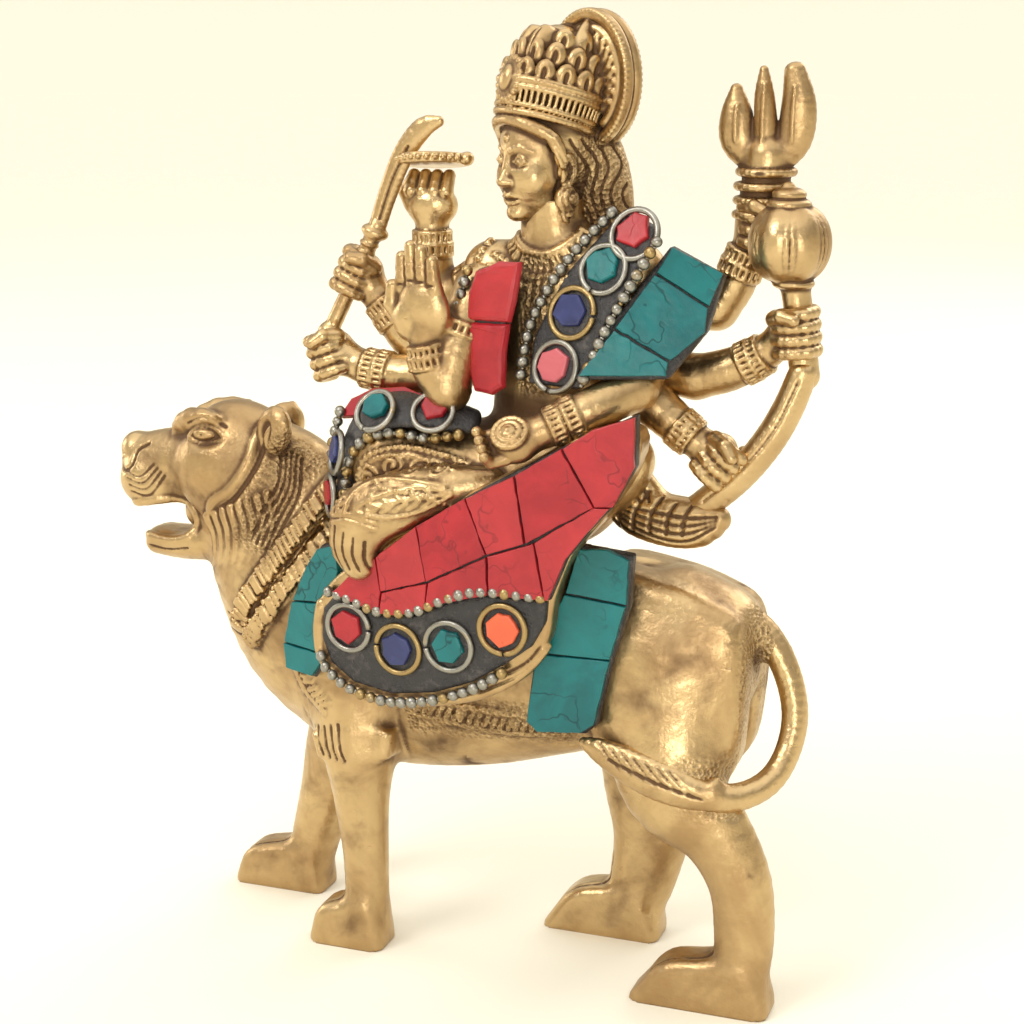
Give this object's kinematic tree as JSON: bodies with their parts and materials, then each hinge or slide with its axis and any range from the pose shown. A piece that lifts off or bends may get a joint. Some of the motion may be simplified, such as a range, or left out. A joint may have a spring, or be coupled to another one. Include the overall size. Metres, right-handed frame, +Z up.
{
  "type": "hindu deity statue",
  "caption": "Cast brass goddess with many arms, seated on a walking lion, with stone, resin and wire ring inlay.",
  "frame": {"origin": "on the floor, under the middle of the whole statue's box", "axes": "+Z up, -X the way the lion walks, -Y the side that the deity faces"},
  "size_m": [0.1606, 0.0479, 0.2037],
  "materials": {
    "antique_brass": "satin polished cast brass with dark patina in the recesses",
    "black_resin": "scuffed black setting resin",
    "oxidised_wire": "worn silvery wire and beads, dark in the gaps",
    "coral_stone": "honed, faintly crazed",
    "turquoise_stone": "honed, with dark veins",
    "lapis_stone": "honed",
    "pink_stone": "honed",
    "orange_stone": "honed"
  },
  "bodies": {
    "root": {"arm_left_bow": "antique_brass", "arm_left_lap": "antique_brass", "arm_left_mace": "antique_brass", "arm_left_trident": "antique_brass", "arm_right_abhaya": "antique_brass", "arm_right_conch_stem": "antique_brass", "arm_right_disc": "antique_brass", "arm_right_sword": "antique_brass", "bow": "antique_brass", "chest_beads": "oxidised_wire", "chest_bed": "black_resin", "chest_tiles": "coral_stone", "conch": "antique_brass", "deity_casting": "antique_brass", "disc": "antique_brass", "front_blanket_bed": "black_resin", "front_blanket_tiles": "turquoise_stone", "knee_hem_bed": "black_resin", "knee_hem_rings": "oxidised_wire", "knee_hem_stone_coral": "coral_stone", "knee_hem_stone_turquoise": "turquoise_stone", "knee_inner_beads": "oxidised_wire", "knee_outer_beads": "oxidised_wire", "lion_casting": "antique_brass", "lion_tail": "antique_brass", "mace": "antique_brass", "rear_blanket_bed": "black_resin", "rear_blanket_tiles": "turquoise_stone", "shawl_bed": "black_resin", "shawl_inner_beads": "oxidised_wire", "shawl_outer_beads": "oxidised_wire", "shawl_rings": "oxidised_wire", "shawl_stone_coral": "coral_stone", "shawl_stone_lapis": "lapis_stone", "shawl_stone_pink": "pink_stone", "shawl_stone_turquoise": "turquoise_stone", "shoulder_bed": "black_resin", "shoulder_tiles": "turquoise_stone", "skirt_bed": "black_resin", "skirt_hem_bed": "black_resin", "skirt_hem_lower_beads": "oxidised_wire", "skirt_hem_rings": "oxidised_wire", "skirt_hem_stone_coral": "coral_stone", "skirt_hem_stone_lapis": "lapis_stone", "skirt_hem_stone_orange": "orange_stone", "skirt_hem_stone_turquoise": "turquoise_stone", "skirt_hem_upper_beads": "oxidised_wire", "skirt_tiles": "coral_stone", "sword": "antique_brass", "trident": "antique_brass"}
  },
  "joints": []
}
